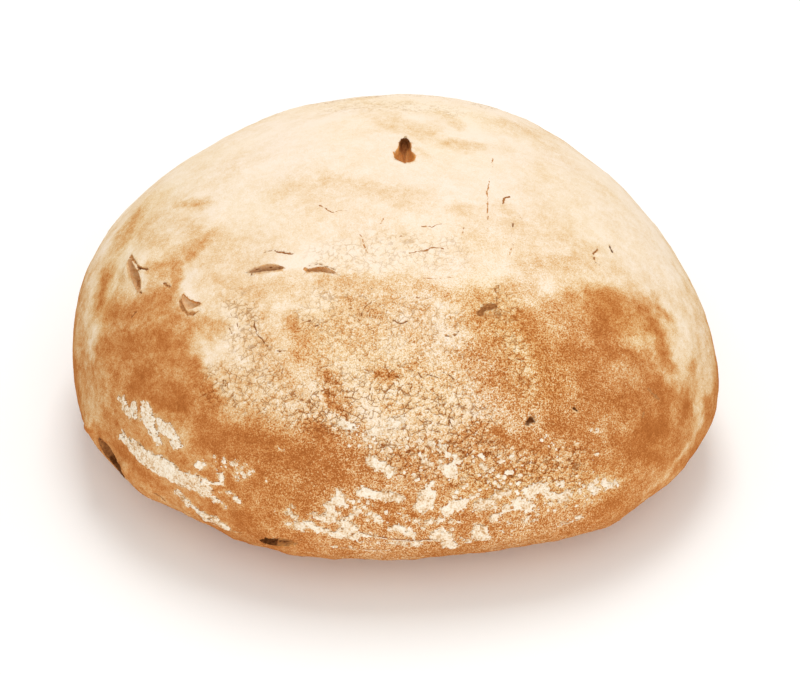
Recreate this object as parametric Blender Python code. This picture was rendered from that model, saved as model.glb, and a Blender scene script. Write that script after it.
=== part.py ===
"""Round rye bread loaf, baked on an oven stone and dusted with flour. One solid, standing on its base.

Metres, +Z up, the front towards -Y. The origin is the middle of the footprint, on the table.
"""

from math import atan2, cos, exp, hypot, pi, radians, sin

import bmesh
import bpy
from mathutils import Matrix, Vector, noise

# Driving dimensions
LENGTH = 0.225  # across the front, along X
DEPTH = 0.210  # front to back, along Y
HEIGHT = 0.100  # from the table to the crown

# Profile of the loaf, from the crown down to the oven stone
BELLY_HEIGHT = 0.24 * HEIGHT  # where the loaf is widest
BASE_SHARE = 0.80  # reach of the flat base, as a share of the belly's reach
CROWN_POWER = 2.17  # 2 is an ellipse, and more is a squarer shoulder
UNDERSIDE_POWER = 2.25
CROWN_SHIFT = Vector((-0.004, 0.001, 0.0))  # the crown leans a little to the left

# Lobes of the outline seen from above: how many, how strong, and where the first one points
LOBES = (
    (3, 0.039, radians(81)),
    (4, 0.016, radians(65)),
)

# Swells of the baked skin: the size of a wave, how far it stands out, and where its pattern starts
SWELLS = (
    (0.036, 0.0011, Vector((3.1, 0.7, 5.2))),
    (0.013, 0.0004, Vector((8.4, 2.6, 1.9))),
)

GRID = 28  # quads along each side of the cube that the dough starts as
SHORTEST_EDGE = 0.0008  # edges shorter than this, left by the flat cut, are closed up

# Knobs and hollows in the skin: turn and fall of the middle, radius, and height, negative for a hollow.
# Turn is degrees round from +X, and fall is degrees down from the crown.
KNOBS = (
    (206, 88, 0.008, 0.0022),  # knob on the left of the base edge
    (203, 80, 0.010, -0.0012),  # hollow above that knob
    (222, 96, 0.008, 0.0018),  # lip under the torn edge
    (230, 95, 0.010, -0.0012),
    (250, 98, 0.010, 0.0014),  # fold at the front slit
    (306, 100, 0.012, 0.0016),  # lip at the lower right
    (316, 97, 0.010, -0.0010),
    (339, 84, 0.014, 0.0016),  # bulge at the right
    (115, 52, 0.014, 0.0014),  # corner of the crown, at the back
    (138, 55, 0.018, -0.0010),
    (198, 47, 0.007, 0.0016),  # lip of the left fissure
    (232, 29, 0.008, 0.0010),  # lip of the slit
)

# Tears in the crust: name, turn, fall, heading, length, width, depth, bow.
# Heading is degrees from the level line that runs to the right, and a bow bends the tear's ends down.
TEARS = (
    ("fissure", 200, 49, -6, 0.017, 0.0032, 0.0022, 0.0008),
    ("slit", 232, 31, 30, 0.0115, 0.0021, 0.0024, 0.0006),
    ("caret", 249, 28, 6, 0.009, 0.0017, 0.0016, 0.0010),
    ("left_chip", 220, 45, 5, 0.0085, 0.0030, 0.0010, -0.0020),
    ("right_chip", 297, 38.5, -8, 0.008, 0.0034, 0.0012, 0.0016),
    ("edge_cavity", 214, 92, -34, 0.016, 0.0065, 0.0055, 0.0008),
    ("front_slit", 250, 95, 14, 0.013, 0.0034, 0.0036, 0.0006),
    ("rear_slit", 78, 93, 4, 0.024, 0.0046, 0.0040, 0.0012),
    ("side_slit", 14, 95, -5, 0.018, 0.0040, 0.0034, 0.0008),
)

# Vent hole near the crown, where the steam broke out: its middle, length, width and depth
VENT_PLACE = (0.0032, 0.0106)
VENT_LENGTH = 0.0155
VENT_WIDTH = 0.0064
VENT_DEPTH = 0.0085
VENT_TAPER = 0.45  # how much narrower its far end is

STEP = radians(0.5)  # small turn used to find which way the crust faces


def plan_factor(turn):
    """How far the outline stands out at this turn, with 1 as the plain ellipse."""
    return 1 + sum(size * cos(count * (turn - first)) for count, size, first in LOBES)


def loaf_point(turn, fall):
    """The point of the smooth loaf at a turn round from +X and a fall down from the crown."""
    across, down = abs(sin(fall)), abs(cos(fall))
    if fall <= pi / 2:
        reach = across ** (2 / CROWN_POWER)
        rise = down ** (2 / CROWN_POWER)
        height = BELLY_HEIGHT + (HEIGHT - BELLY_HEIGHT) * rise
        shift = CROWN_SHIFT * rise
    else:
        bowl = BELLY_HEIGHT / (1 - BASE_SHARE**UNDERSIDE_POWER) ** (1 / UNDERSIDE_POWER)
        reach = across ** (2 / UNDERSIDE_POWER)
        height = BELLY_HEIGHT - bowl * down ** (2 / UNDERSIDE_POWER)
        shift = Vector()
    reach *= plan_factor(turn)
    return Vector((LENGTH / 2 * reach * cos(turn), DEPTH / 2 * reach * sin(turn), height)) + shift


def crust_frame(turn, fall):
    """Right, up and out directions on the crust at a turn and a fall."""
    to_right = loaf_point(turn + STEP, fall) - loaf_point(turn - STEP, fall)
    uphill = loaf_point(turn, fall - STEP) - loaf_point(turn, fall + STEP)
    outward = to_right.cross(uphill).normalized()
    to_right.normalize()
    return to_right, outward.cross(to_right), outward


def risen_dough():
    """A ball of even quads, drawn out to the shape of the risen loaf and knocked flat by the oven stone."""
    mesh = bmesh.new()
    bmesh.ops.create_cube(mesh, size=2.0)
    bmesh.ops.subdivide_edges(mesh, edges=mesh.edges, cuts=GRID - 1, use_grid_fill=True)
    for vert in mesh.verts:
        # A tangent spacing makes the squares of the ball even in size.
        ball = Vector([sin(c * pi / 4) / cos(c * pi / 4) for c in vert.co]).normalized()
        turn = atan2(ball.y, ball.x)
        fall = atan2(hypot(ball.x, ball.y), ball.z)
        vert.co = loaf_point(turn, fall)
    return mesh


def swell_skin(mesh):
    """Moves the skin in and out by the swells, and by each knob and hollow."""
    mesh.normal_update()
    moves = []
    for vert in mesh.verts:
        out = sum(size * noise.noise(vert.co / wave + start) for wave, size, start in SWELLS)
        for turn, fall, radius, height in KNOBS:
            middle = loaf_point(radians(turn), radians(fall))
            out += height * exp(-(vert.co - middle).length_squared / radius**2)
        moves.append(vert.normal * out)
    for vert, move in zip(mesh.verts, moves):
        vert.co += move


def flatten_base(mesh):
    """Cuts the underside off at the oven stone and closes it with one flat face."""
    everything = mesh.verts[:] + mesh.edges[:] + mesh.faces[:]
    cut = bmesh.ops.bisect_plane(
        mesh, geom=everything, plane_co=(0, 0, 0), plane_no=(0, 0, -1), clear_outer=True
    )
    rim = [part for part in cut["geom_cut"] if isinstance(part, bmesh.types.BMVert)]
    for vert in rim:
        vert.co.z = 0.0
    bmesh.ops.remove_doubles(mesh, verts=rim, dist=SHORTEST_EDGE)
    open_edges = [edge for edge in mesh.edges if edge.is_boundary]
    bmesh.ops.holes_fill(mesh, edges=open_edges, sides=0)
    bmesh.ops.recalc_face_normals(mesh, faces=mesh.faces)


def centre_on_table(mesh):
    """Moves the loaf so that the middle of its outline is over the origin, and returns the move."""
    low = [min(vert.co[axis] for vert in mesh.verts) for axis in range(2)]
    high = [max(vert.co[axis] for vert in mesh.verts) for axis in range(2)]
    move = Vector((-(low[0] + high[0]) / 2, -(low[1] + high[1]) / 2, 0.0))
    bmesh.ops.translate(mesh, vec=move, verts=mesh.verts)
    return move


def crust_material():
    """Matt baked crust under a dusting of flour."""
    material = bpy.data.materials.new("floured_crust")
    material.use_nodes = True
    shader = material.node_tree.nodes["Principled BSDF"]
    shader.inputs["Base Color"].default_value = (0.68, 0.42, 0.19, 1.0)
    shader.inputs["Roughness"].default_value = 0.85
    shader.inputs["Metallic"].default_value = 0.0
    return material


def make_object(name, mesh):
    """A scene object from an edit mesh."""
    data = bpy.data.meshes.new(name)
    mesh.to_mesh(data)
    mesh.free()
    made = bpy.data.objects.new(name, data)
    bpy.context.scene.collection.objects.link(made)
    return made


def cut_with(loaf, cutter):
    """Takes the cutter's shape out of the loaf. The cutter stays as a hidden wire."""
    cutter.hide_render = True
    cutter.display_type = "WIRE"
    cut = loaf.modifiers.new(cutter.name, "BOOLEAN")
    cut.operation = "DIFFERENCE"
    cut.object = cutter


def lens(name, length, width, depth, bow=0.0, taper=0.0):
    """A lens-shaped cutter along X, bent by its bow and narrower at its +X end by its taper."""
    mesh = bmesh.new()
    bmesh.ops.create_uvsphere(mesh, u_segments=12, v_segments=7, radius=1.0)
    # The sphere's poles are turned to the two ends of the tear.
    bmesh.ops.rotate(mesh, verts=mesh.verts, matrix=Matrix.Rotation(pi / 2, 3, "Y"))
    for vert in mesh.verts:
        along, across, deep = vert.co
        narrowing = 1 - taper * along
        vert.co = (length / 2 * along, width / 2 * across * narrowing - bow * along**2, depth * deep)
    return make_object(name, mesh)


def placed(cutter, place, right, up, out):
    """Sets the cutter on the crust with its X to the right, its Y uphill and its Z outwards."""
    turned = Matrix((right, up, out)).transposed()
    cutter.matrix_world = Matrix.Translation(place) @ turned.to_4x4()
    return cutter


def tear_cutter(move, name, turn, fall, heading, length, width, depth, bow):
    """A cutter for one tear, lying along the crust."""
    turn, fall = radians(turn), radians(fall)
    right, up, out = crust_frame(turn, fall)
    swing = Matrix.Rotation(radians(heading), 3, out)
    cutter = lens("tear_" + name, length, width, depth, bow)
    return placed(cutter, loaf_point(turn, fall) + move, swing @ right, swing @ up, out)


def vent_cutter(move):
    """A cutter for the vent hole, wide at the front and narrowing to the back."""
    cutter = lens("vent", VENT_LENGTH, VENT_WIDTH, VENT_DEPTH, taper=VENT_TAPER)
    place = Vector((*VENT_PLACE, HEIGHT)) + move
    return placed(cutter, place, Vector((0, 1, 0)), Vector((-1, 0, 0)), Vector((0, 0, 1)))


def bake_loaf():
    """The whole loaf: risen, swollen, flattened, torn and vented."""
    mesh = risen_dough()
    swell_skin(mesh)
    flatten_base(mesh)
    move = centre_on_table(mesh)
    loaf = make_object("loaf", mesh)
    loaf.data.materials.append(crust_material())
    for tear in TEARS:
        cut_with(loaf, tear_cutter(move, *tear))
    cut_with(loaf, vent_cutter(move))
    loaf.data.shade_smooth()
    return loaf


def clear_scene():
    """Removes whatever the scene holds."""
    for old in list(bpy.data.objects):
        bpy.data.objects.remove(old, do_unlink=True)


clear_scene()
bake_loaf()
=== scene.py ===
# %% [markdown]
# # A rye loaf under a dusting of flour
#
# A round loaf is one piece: a dome of baked dough on a flat base. Nothing on it is regular, so its skin
# is made in layers, as a baker would see them: the risen shape, the cracks and chips that the oven made,
# the browned crust, the dust of flour, and the thicker flour that caked near the base.
#
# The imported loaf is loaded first. It fixes the size and the place of everything below.

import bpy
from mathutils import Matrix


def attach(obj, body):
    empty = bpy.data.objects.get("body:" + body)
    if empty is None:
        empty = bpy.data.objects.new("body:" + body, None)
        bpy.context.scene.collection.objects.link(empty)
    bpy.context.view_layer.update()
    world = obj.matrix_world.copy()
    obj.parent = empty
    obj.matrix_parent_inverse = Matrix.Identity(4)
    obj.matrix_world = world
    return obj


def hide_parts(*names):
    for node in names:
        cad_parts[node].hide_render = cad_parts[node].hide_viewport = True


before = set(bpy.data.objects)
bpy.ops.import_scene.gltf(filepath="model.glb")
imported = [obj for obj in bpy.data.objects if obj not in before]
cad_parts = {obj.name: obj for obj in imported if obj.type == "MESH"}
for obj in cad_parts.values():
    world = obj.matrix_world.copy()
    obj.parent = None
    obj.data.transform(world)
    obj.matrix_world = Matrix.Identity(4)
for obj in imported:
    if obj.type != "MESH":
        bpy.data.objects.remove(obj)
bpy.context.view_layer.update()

# %% Other modules
from math import cos, pi, radians, sin

import bmesh
import bpy
import numpy as np
from mathutils import Vector, noise
from mathutils.bvhtree import BVHTree

MM = 0.001  # one millimetre, as the frame is in metres

# %% [markdown]
# ## Camera
#
# The photo looks down on the loaf from the front with a long lens. A camera can be set by eye, or worked
# out from a point whose place is known. The second way is used: one point inside the loaf is put at the
# pixel where the photo has it, so the rest of the loaf falls into place. The camera turns to do that and
# its lens isn't shifted, because other views keep the shift.

# %% Camera
IMAGE_WIDTH = 800
IMAGE_HEIGHT = 675
SENSOR_WIDTH = 36.0
LENS = 96.3  # in mm, as the sensor's width is
CAMERA_DISTANCE = 0.75
CAMERA_ELEVATION = radians(37.1)
AIM = Vector((0.0007, -0.0038, 0.045))  # the known point inside the loaf
AIM_PIXEL = (395.4, 296.6)  # and where the photo has it

pixels_of_focus = LENS / SENSOR_WIDTH * IMAGE_WIDTH
sight = Vector((0, cos(CAMERA_ELEVATION), -sin(CAMERA_ELEVATION)))
rightward = Vector((1, 0, 0))
upward = rightward.cross(sight)
axis = (
    sight
    + rightward * (IMAGE_WIDTH / 2 - AIM_PIXEL[0]) / pixels_of_focus
    - upward * (IMAGE_HEIGHT / 2 - AIM_PIXEL[1]) / pixels_of_focus
)
bpy.ops.object.camera_add(
    location=AIM - sight * CAMERA_DISTANCE, rotation=axis.to_track_quat("-Z", "Y").to_euler()
)
camera = bpy.context.active_object
camera.data.sensor_width = SENSOR_WIDTH
camera.data.lens = LENS
bpy.context.scene.camera = camera
bpy.context.view_layer.update()
print("camera stands at", [round(part, 3) for part in camera.location])


# %% A line of sight through a pixel of the photo
def pixel_ray(pixel):
    """Start and direction of the line of sight through a pixel of the photo."""
    across = (pixel[0] - IMAGE_WIDTH / 2) / pixels_of_focus
    rise = (IMAGE_HEIGHT / 2 - pixel[1]) / pixels_of_focus
    direction = camera.matrix_world.to_3x3() @ Vector((across, rise, -1))
    return camera.location, direction.normalized()


# %% [markdown]
# ## Light and table
#
# The photo is bright all round, as in a white tent: the sides are nearly as light as the crown, and only
# the cracks are dark. An even white world does most of that. A large lamp overhead and a weaker one by the
# camera add just enough direction to show the relief.

# %% World
SKY_STRENGTH = 0.76
SKY_COLOUR = (1.0, 0.99, 0.97, 1.0)

world = bpy.data.worlds.new("white_tent")
world.use_nodes = True
sky = world.node_tree.nodes["Background"]
sky.inputs["Color"].default_value = SKY_COLOUR
sky.inputs["Strength"].default_value = SKY_STRENGTH
bpy.context.scene.world = world
bpy.context.scene.view_settings.view_transform = "Standard"
print("white tent at strength", SKY_STRENGTH)

# %% Lamps
LAMP_TARGET = Vector((0, 0, 0.03))


def soft_lamp(name, place, side, power):
    """A square lamp that faces the loaf, with its side in metres and its power in watts."""
    towards = LAMP_TARGET - Vector(place)
    turned = towards.to_track_quat("-Z", "Y").to_euler()
    bpy.ops.object.light_add(type="AREA", location=place, rotation=turned)
    lamp = bpy.context.active_object
    lamp.name = name
    lamp.data.shape = "SQUARE"
    lamp.data.size = side
    lamp.data.energy = power
    print(name, "is", round(towards.length, 2), "m from the loaf")


soft_lamp("overhead_lamp", place=(0.02, 0.40, 1.10), side=0.5, power=5.5)
soft_lamp("front_lamp", place=(0.20, -1.3, 0.42), side=0.9, power=7.2)

# %% Table
TABLE_SIZE = 8.0
TABLE_GAP = 0.2 * MM  # keeps the table's face clear of the loaf's base
TABLE_COLOUR = (0.93, 0.93, 0.92, 1.0)
TABLE_ROUGHNESS = 0.8

bpy.ops.mesh.primitive_plane_add(size=TABLE_SIZE, location=(0, 0, -TABLE_GAP))
table = bpy.context.active_object
table.name = "table"
table_paint = bpy.data.materials.new("pale_table")
table_paint.use_nodes = True
table_shader = table_paint.node_tree.nodes["Principled BSDF"]
table_shader.inputs["Base Color"].default_value = TABLE_COLOUR
table_shader.inputs["Roughness"].default_value = TABLE_ROUGHNESS
table.data.materials.append(table_paint)
print("the table is", TABLE_SIZE, "m wide")

# %% [markdown]
# ## The crust as a fine, even skin
#
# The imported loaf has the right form, but its facets are 4 to 6 mm wide, too coarse for cracks. It could be
# modelled again from nothing, remeshed with voxels, or refined as it is. Refining keeps its size, its
# even squares and the sharp edges of its tears, so a copy of its mesh has its triangles paired into
# squares, and two rounds of subdivision make them about 1 mm wide.

# %% Choosing one piece at a time
MERGE_DISTANCE = 0.001 * MM


def take(piece):
    """Makes this piece the only one that an operator acts on."""
    bpy.ops.object.select_all(action="DESELECT")
    piece.select_set(True)
    bpy.context.view_layer.objects.active = piece


def modify(piece, kind, **settings):
    """Adds a modifier to the piece and applies it."""
    take(piece)
    modifier = piece.modifiers.new(kind.lower(), kind)
    for name, value in settings.items():
        setattr(modifier, name, value)
    bpy.ops.object.modifier_apply(modifier=modifier.name)


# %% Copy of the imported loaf
crust = bpy.data.objects.new("loaf_crust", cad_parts["loaf"].data.copy())
bpy.context.scene.collection.objects.link(crust)
crust.data.materials.clear()
take(crust)
bpy.ops.object.mode_set(mode="EDIT")
bpy.ops.mesh.select_all(action="SELECT")
bpy.ops.mesh.remove_doubles(threshold=MERGE_DISTANCE)
bpy.ops.mesh.tris_convert_to_quads()
bpy.ops.object.mode_set(mode="OBJECT")
print("copy of the packed loaf:", len(crust.data.polygons), "faces")

# %% Find the walls of the deep tears
# From the crown, the skin goes on over every edge that isn't sharp. What it doesn't reach is a tear's wall.
SHARP_EDGE = radians(22)
DOWNWARD = -0.9  # the base faces down more than this
WALL, SKIN = 1, 0  # the slot numbers that tell them apart until the crust gets its material

mesh = bmesh.new()
mesh.from_mesh(crust.data)
waiting = [max(mesh.faces, key=lambda face: face.calc_center_median().z)]
reached = set(waiting)
while waiting:
    for edge in waiting.pop().edges:
        if edge.calc_face_angle(pi) < SHARP_EDGE:
            fresh = [face for face in edge.link_faces if face not in reached]
            reached.update(fresh)
            waiting.extend(fresh)
for face in mesh.faces:
    face.material_index = SKIN if face in reached or face.normal.z < DOWNWARD else WALL
mesh.to_mesh(crust.data)
mesh.free()
print("faces in deep tears:", sum(face.material_index == WALL for face in crust.data.polygons))

# %% Round the facets
ROUNDINGS = 2

modify(crust, "SUBSURF", levels=ROUNDINGS, render_levels=ROUNDINGS)
bpy.ops.object.shade_smooth()
print("rounded skin:", len(crust.data.polygons), "faces")


# %% Reading a mesh into arrays
def positions(mesh):
    """The places of the mesh's points, one row each."""
    flat = np.empty(3 * len(mesh.vertices), np.float32)
    mesh.vertices.foreach_get("co", flat)
    return flat.reshape(-1, 3).astype(float)


def directions(mesh):
    """The way the surface faces at each point."""
    flat = np.empty(3 * len(mesh.vertices), np.float32)
    mesh.vertex_normals.foreach_get("vector", flat)
    return flat.reshape(-1, 3).astype(float)


def set_positions(mesh, points):
    """Moves the mesh's points to new places."""
    mesh.vertices.foreach_set("co", points.astype(np.float32).ravel())
    mesh.update()


def face_middles(mesh):
    """The middle of each face."""
    flat = np.empty(3 * len(mesh.polygons), np.float32)
    mesh.polygons.foreach_get("center", flat)
    return flat.reshape(-1, 3).astype(float)


# %% [markdown]
# ## Placing marks by the photo
#
# Every crack and patch that shows has its own place, so each is written down as a short path through
# pixels of the photo. A line of sight through each pixel meets the crust at a real point, and from there on
# the mark is a line in space with a real width. It stays where it is from any side.

# %% Where a pixel falls on the crust
OUTLINE_SLACK = 12  # pixels that a mark may lie outside the crust's outline
CROWN_PIXEL = (400, 180)

crust_tree = BVHTree.FromPolygons(
    [vertex.co[:] for vertex in crust.data.vertices], [face.vertices[:] for face in crust.data.polygons]
)


def on_crust(pixel):
    """The place on the crust that the photo shows at a pixel, or at the next one inwards that has crust."""
    inwards = (Vector(AIM_PIXEL) - Vector(pixel)).normalized()
    for step in range(OUTLINE_SLACK):
        place = crust_tree.ray_cast(*pixel_ray(Vector(pixel) + step * inwards))[0]
        if place is not None:
            return np.array(place)
    raise ValueError(f"no crust is seen at pixel {pixel}")


print("the crown's middle is at", np.round(1000 * on_crust(CROWN_PIXEL), 1), "mm")


# %% Distance from a path
FAR_AWAY = 45 * MM  # distances aren't worked out beyond this


def from_segment(points, start, end):
    """Distance of each point from the straight line between two places."""
    line = end - start
    squared = max(line @ line, MERGE_DISTANCE**2)  # never 0, for a path of only one place
    share = np.clip((points - start) @ line / squared, 0, 1)
    return np.linalg.norm(points - start - share[:, None] * line, axis=1)


def from_path(points, places):
    """Distance of each point from a path through places on the crust, up to FAR_AWAY."""
    middle = np.mean(places, axis=0)
    reach = np.linalg.norm(places - middle, axis=1).max() + FAR_AWAY
    near = np.flatnonzero(np.linalg.norm(points - middle, axis=1) < reach)
    distances = np.full(len(points), FAR_AWAY)
    for start, end in zip(places, places[1:] if len(places) > 1 else places):
        distances[near] = np.minimum(distances[near], from_segment(points[near], start, end))
    return distances


# %% Paths on the crust
OUTSIDE = 0.2  # metres out from the middle, which is beyond any part of the loaf


def photo_path(pixels):
    """The places on the crust that the photo shows at these pixels."""
    return np.array([on_crust(pixel) for pixel in pixels])


def far_side_path(corners):
    """Places on the hidden sides, each at a turn in degrees round from +X and a height in mm."""
    places = []
    for turn, height in corners:
        outwards = Vector((cos(radians(turn)), sin(radians(turn)), 0))
        start = Vector((0, 0, height * MM)) + OUTSIDE * outwards
        places.append(crust_tree.ray_cast(start, -outwards)[0])
    return np.array(places)


# %% A soft step
def fade(value, low, high):
    """0 up to low, 1 from high, and a soft step in between."""
    share = np.clip((value - low) / (high - low), 0, 1)
    return share * share * (3 - 2 * share)


# %% Noise in space
SEED_STEP = Vector((7.3, 3.1, 5.7))  # how far apart in the noise two seeds are
FRACTAL = (1.0, 2.0, 2)  # two octaves, the second half as wide and half as strong


def waves(points, size, seed):
    """Smooth noise at each point, from about -1 to 1, with waves of that size."""
    start = SEED_STEP * seed
    return np.array([noise.fractal(Vector(point) / size + start, *FRACTAL) for point in points])


def relief(points, size_and_reach, seed):
    """Height at each point, from noise whose size and reach are in mm."""
    size, reach = size_and_reach
    return reach * MM * waves(points, size * MM, seed)


def stirred(points, *rounds):
    """The points moved about, so that what is drawn from them comes out ragged.

    Each round has the size and the reach of its noise in mm, and a seed.
    """
    for size, reach, seed in rounds:
        shifts = [waves(points, size * MM, seed + 10 * part) for part in range(3)]
        points = points + reach * MM * np.stack(shifts, axis=1)
    return points


# %% [markdown]
# ## Cracks, chips and pits
#
# The oven tore the skin in a few places. A long fissure and a slit lie on the left, a chip shaped like an
# arch on the right, hairlines run across the crown, and small pits and blisters are dotted about. They
# could be drawn in the material, but a crack is a real gap, so each is carved. First the skin is made finer
# near them, because a hairline is thinner than one of its squares.

# %% The marks that show, as paths through pixels
# Each has a half width and a depth in mm, and how dark it is inside: the crack's own colour, deepened by
# painted shade.
MARKS = {
    # Hairlines across the crown
    "crown_1": (0.34, 0.16, 0.55, [(319, 204), (332, 212), (341, 209), (347, 210)]),
    "crown_2": (0.28, 0.12, 0.45, [(385, 216), (381, 223)]),
    "crown_3": (0.34, 0.16, 0.55, [(421, 225), (433, 226), (441, 222)]),
    "crown_4": (0.32, 0.10, 0.46, [(357, 229), (362, 237), (363, 243), (367, 251)]),
    "crown_5": (0.26, 0.10, 0.50, [(387, 238), (402, 235)]),
    "crown_6": (0.34, 0.16, 0.55, [(410, 252), (425, 250), (433, 247), (444, 248)]),
    "crown_7": (0.26, 0.12, 0.45, [(422, 277), (441, 278), (451, 277), (462, 279)]),
    "crown_8": (0.26, 0.10, 0.50, [(465, 226), (464, 233)]),
    "scratch": (0.36, 0.14, 0.44, [(493, 157), (489, 185), (488, 205), (488, 228)]),
    "tick": (0.42, 0.25, 0.60, [(504, 202), (505, 196), (510, 195)]),
    "tick_tail": (0.28, 0.12, 0.55, [(518, 211), (521, 216), (526, 219)]),
    "long_right": (0.34, 0.10, 0.44, [(512, 232), (513, 244), (510, 254)]),
    # Left side
    "fissure": (0.75, 0.50, 0.50, [(129, 255), (135, 262), (139, 268), (138, 280), (140, 292)]),
    "fissure_notch": (0.60, 0.60, 0.62, [(137, 267), (145, 269)]),
    "flake_gap": (0.55, 0.40, 0.60, [(163, 283), (169, 286)]),
    "oblique": (0.45, 0.45, 0.65, [(131, 317), (135, 312)]),
    "left_chip": (0.90, 0.40, 0.52, [(180, 301), (182, 308), (187, 314), (192, 313)]),
    "left_chip_tail": (0.50, 0.35, 0.45, [(192, 313), (202, 309)]),
    "slit": (0.36, 0.60, 0.66, [(251, 275), (257, 270), (265, 271), (271, 268), (279, 268)]),
    "slit_above": (0.40, 0.50, 0.60, [(265, 251), (274, 248), (278, 251), (293, 253)]),
    "caret": (0.28, 0.50, 0.60, [(308, 266), (318, 262), (324, 265), (334, 269)]),
    "caret_foot": (0.80, 0.30, 0.45, [(304, 268), (309, 270)]),
    # Crackle of the left middle
    "left_net_1": (0.28, 0.20, 0.70, [(229, 311), (232, 317), (237, 317), (237, 327)]),
    "left_net_2": (0.28, 0.20, 0.70, [(228, 326), (233, 334), (232, 341)]),
    "left_net_3": (0.30, 0.22, 0.75, [(254, 321), (256, 334), (262, 339), (267, 347)]),
    "left_net_4": (0.28, 0.20, 0.70, [(274, 350), (287, 351)]),
    "left_net_5": (0.28, 0.20, 0.60, [(283, 368), (280, 376)]),
    "left_ring": (0.30, 0.25, 0.75, [(223, 386), (222, 381), (226, 379), (225, 386)]),
    # Middle
    "middle_1": (0.30, 0.20, 0.65, [(365, 283), (369, 287), (373, 289)]),
    "middle_2": (0.30, 0.22, 0.65, [(357, 295), (365, 296), (372, 300), (363, 309), (357, 321)]),
    "middle_3": (0.26, 0.18, 0.50, [(338, 300), (334, 313)]),
    "middle_4": (0.28, 0.18, 0.55, [(416, 297), (432, 298)]),
    "middle_5": (0.28, 0.20, 0.60, [(358, 360), (362, 366), (368, 372)]),
    "step_1": (0.38, 0.35, 0.60, [(302, 320), (310, 320)]),
    "step_2": (0.34, 0.30, 0.70, [(315, 326), (325, 323)]),
    "crescent": (0.36, 0.50, 0.60, [(393, 319), (401, 323), (407, 321)]),
    "blister": (0.40, 0.50, 0.66, [(447, 336), (452, 338), (456, 334), (459, 330)]),
    "ripple_1": (0.32, 0.25, 0.75, [(418, 372), (422, 377)]),
    "ripple_2": (0.34, 0.28, 0.80, [(427, 374), (438, 377)]),
    "ripple_3": (0.34, 0.28, 0.80, [(442, 372), (448, 373), (453, 378)]),
    "ripple_4": (0.30, 0.22, 0.70, [(436, 392), (438, 398)]),
    "right_chip": (1.8, 0.30, 0.62, [(481, 312), (487, 307), (494, 306)]),
    "right_chip_rim": (0.26, 0.30, 0.80, [(478, 309), (484, 303), (493, 303), (500, 309)]),
    "chip_crack": (0.30, 0.25, 0.60, [(500, 283), (495, 289), (498, 295), (497, 303)]),
    "chip_tail": (0.26, 0.18, 0.45, [(465, 308), (456, 315)]),
    # Right side
    "ring_side": (0.42, 0.40, 0.60, [(598, 248), (594, 253), (595, 259)]),
    "ring_foot": (0.50, 0.50, 0.75, [(597, 262), (600, 264)]),
    "pit_upper": (0.70, 0.80, 0.95, [(611, 246), (613, 251)]),
    "pit_crown": (0.50, 0.50, 0.75, [(513, 222), (514, 225)]),
    "pit_round": (2.10, 0.70, 1.00, [(531, 421)]),
    "pit_small": (0.80, 0.60, 1.10, [(575, 409), (578, 411)]),
    "streak_1": (0.70, 0.25, 0.55, [(650, 388), (655, 395), (660, 399)]),
    "streak_2": (0.50, 0.25, 0.55, [(646, 411), (644, 417)]),
    "right_hair": (0.28, 0.20, 0.50, [(573, 317), (577, 325)]),
    # Low down
    "edge_nick_1": (0.80, 0.50, 0.60, [(155, 495), (164, 502)]),
    "edge_nick_2": (0.60, 0.50, 0.70, [(186, 514), (196, 519)]),
    "edge_fold_1": (0.42, 0.45, 0.60, [(206, 521), (224, 530), (240, 534)]),
    "crease": (0.40, 0.45, 0.65, [(557, 527), (567, 524), (577, 521), (584, 518)]),
    "flour_gap_1": (0.40, 0.30, 0.80, [(195, 483), (204, 488), (213, 492)]),
    "flour_gap_2": (0.34, 0.30, 0.70, [(183, 473), (190, 477), (198, 476)]),
    "front_slit": (0.90, 0.80, 0.85, [(266, 539), (274, 540)]),
    "slit_tail": (0.40, 0.50, 0.75, [(274, 540), (287, 541), (300, 541)]),
    "fold_1": (0.50, 0.50, 0.60, [(376, 538), (392, 540), (412, 541), (435, 541)]),
    "fold_2": (0.45, 0.40, 0.50, [(340, 549), (365, 551), (392, 551)]),
    "net_dark_1": (0.50, 0.40, 0.80, [(508, 476), (516, 478), (520, 476)]),
    "net_dark_2": (0.34, 0.30, 0.80, [(449, 420), (453, 426)]),
}
MARKS = {name: (*sizes, photo_path(pixels)) for name, (*sizes, pixels) in MARKS.items()}

# The hidden sides have marks of the same kinds, as turns and heights.
FAR_MARKS = {
    "rear_crack": (0.45, 0.60, 0.75, [(62, 66), (70, 62), (76, 63), (83, 58)]),
    "rear_branch": (0.30, 0.30, 0.60, [(76, 63), (78, 70), (84, 75)]),
    "rear_chip": (1.00, 0.70, 0.60, [(118, 70), (122, 74), (128, 73)]),
    "rear_hair_1": (0.26, 0.15, 0.45, [(96, 84), (104, 82), (110, 85)]),
    "rear_hair_2": (0.26, 0.15, 0.45, [(40, 78), (48, 80), (52, 77)]),
    "rear_hair_3": (0.28, 0.20, 0.60, [(92, 45), (97, 41), (98, 36)]),
    "rear_hair_4": (0.28, 0.20, 0.60, [(140, 50), (146, 46), (147, 41), (152, 39)]),
    "rear_pit": (0.90, 0.60, 0.80, [(56, 34)]),
    "side_crack": (0.40, 0.50, 0.70, [(8, 60), (16, 57), (21, 58)]),
    "side_hair": (0.28, 0.20, 0.60, [(355, 44), (0, 41), (2, 35)]),
    "left_rear_crack": (0.42, 0.50, 0.70, [(162, 62), (168, 58), (175, 60)]),
    "left_rear_pit": (0.70, 0.60, 0.80, [(158, 30)]),
}
for name, (half_width, depth, dark, corners) in FAR_MARKS.items():
    MARKS[name] = (half_width, depth, dark, far_side_path(corners))
print(len(MARKS), "marks")

# %% Finer skin near the marks
# The reach of each round of splitting, and the side of the smallest square that it still splits
FINER_ROUNDS = ((1.0 * MM, 0.7 * MM), (0.30 * MM, 0.4 * MM))


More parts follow.
